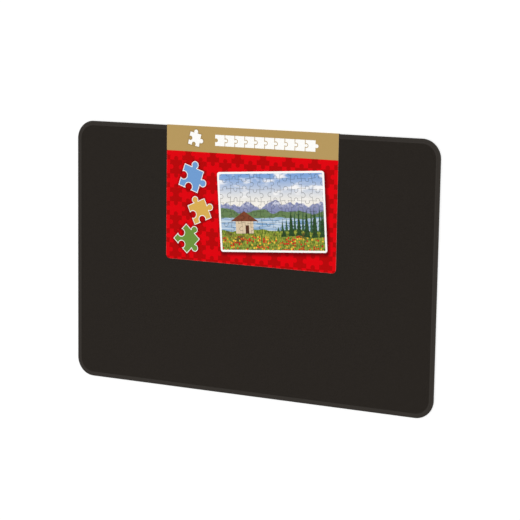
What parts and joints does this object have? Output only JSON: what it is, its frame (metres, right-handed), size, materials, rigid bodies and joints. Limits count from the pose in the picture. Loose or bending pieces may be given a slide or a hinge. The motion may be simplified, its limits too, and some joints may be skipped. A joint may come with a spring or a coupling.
{
  "type": "jigsaw puzzle board",
  "caption": "Flat felt-covered jigsaw puzzle board with rounded corners and a sewn tape binding, carrying a printed card folded over its top edge that pulls off and opens out.",
  "frame": {"origin": "under the middle of the board, on the surface that the part lies on", "axes": "+X along the board's width, +Y towards its top edge, where the card is folded over, +Z out of the puzzle face"},
  "size_m": [0.765, 0.5108, 0.0055],
  "materials": {
    "grey_board": "matte pressed paper fibre",
    "glue": "dried white glue",
    "felt": "short matte felt nap",
    "binding_tape": "matte woven tape",
    "sewing_thread": "spun polyester thread",
    "card_gold": "printed gold, satin varnish",
    "card_red": "printed red, gloss varnish"
  },
  "bodies": {
    "board": {"core_board": "grey_board", "front_glue_film": "glue", "rear_glue_film": "glue", "front_felt": "felt", "rear_felt": "felt", "edge_binding": "binding_tape", "needle_thread": "sewing_thread", "bobbin_thread": "sewing_thread"},
    "card_rear": {"card_rear_panel": "card_red"},
    "card_spine": {"card_spine": "card_gold"},
    "card_front": {"card_front_panel": "card_red"}
  },
  "joints": [
    {"name": "card_pull_off", "type": "slide", "parent": "board", "child": "card_rear", "axis": [0, 1, 0], "range_m": [0, 0.27]},
    {"name": "card_rear_fold", "type": "hinge", "parent": "card_rear", "child": "card_spine", "pos_m": [0.0025, 0.2553, 0.0005], "axis": [-1, 0, 0], "range_deg": [0, 90]},
    {"name": "card_front_fold", "type": "hinge", "parent": "card_spine", "child": "card_front", "pos_m": [0.0025, 0.2553, 0.005], "axis": [-1, 0, 0], "range_deg": [0, 90]}
  ]
}
